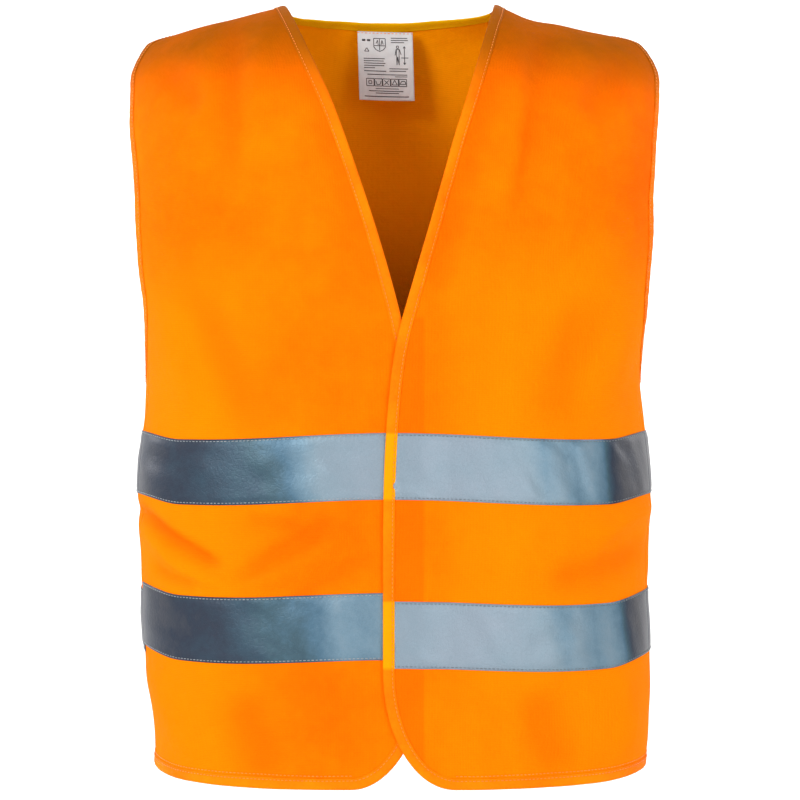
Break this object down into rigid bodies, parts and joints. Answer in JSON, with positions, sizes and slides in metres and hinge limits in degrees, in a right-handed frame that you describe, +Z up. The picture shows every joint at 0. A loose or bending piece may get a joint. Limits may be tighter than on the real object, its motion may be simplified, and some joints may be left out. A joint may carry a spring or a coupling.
{
  "type": "high visibility vest",
  "caption": "Sleeveless high visibility vest with a V neck, overlapping front flaps, reflective tapes round the body, bound edges and a care label.",
  "frame": {"origin": "midway between the two shoulder high points, where the vest rests on its wearer", "axes": "+Z up, front of the vest towards -Y, the wearer's left towards +X"},
  "size_m": [0.4335, 0.2599, 0.6197],
  "materials": {
    "orange_knit": "fluorescent orange polyester knit",
    "binding_tape": "amber woven binding tape",
    "reflective_tape": "silver retroreflective glass bead tape",
    "hook_and_loop": "hook and loop fastener",
    "label_cloth": "white printed satin label"
  },
  "bodies": {
    "root": {"back_panel": "orange_knit", "left_front_side": "orange_knit", "right_front_side": "orange_knit", "back_upper_tape": "reflective_tape", "back_lower_tape": "reflective_tape", "left_upper_tape_side": "reflective_tape", "left_lower_tape_side": "reflective_tape", "right_upper_tape_side": "reflective_tape", "right_lower_tape_side": "reflective_tape", "neck_binding": "binding_tape", "hem_binding": "binding_tape", "left_armhole_binding": "binding_tape", "right_armhole_binding": "binding_tape"},
    "left_flap": {"left_front_flap": "orange_knit", "left_upper_tape_flap": "reflective_tape", "left_lower_tape_flap": "reflective_tape", "left_front_edge_binding": "binding_tape", "upper_hook_patch": "hook_and_loop", "middle_hook_patch": "hook_and_loop", "lower_hook_patch": "hook_and_loop"},
    "right_flap": {"right_front_flap": "orange_knit", "right_upper_tape_flap": "reflective_tape", "right_lower_tape_flap": "reflective_tape", "right_front_edge_binding": "binding_tape", "upper_loop_patch": "hook_and_loop", "middle_loop_patch": "hook_and_loop", "lower_loop_patch": "hook_and_loop"},
    "label": {"care_label": "label_cloth"}
  },
  "joints": [
    {"name": "left_flap_fold", "type": "hinge", "parent": "root", "child": "left_flap", "pos_m": [0.077, -0.1183, -0.3725], "axis": [-0.0952, 0, 0.9955], "range_deg": [0, 150]},
    {"name": "right_flap_fold", "type": "hinge", "parent": "root", "child": "right_flap", "pos_m": [-0.077, -0.1183, -0.3725], "axis": [-0.0952, 0, -0.9955], "range_deg": [0, 75]},
    {"name": "label_swing", "type": "hinge", "parent": "root", "child": "label", "pos_m": [-0.007, 0.07665, -0.0032], "axis": [-1, 0, 0], "range_deg": [0, 120]}
  ],
  "couplings": [
    {"joint": "right_flap_fold", "follows": "left_flap_fold", "ratio": 0.5}
  ]
}
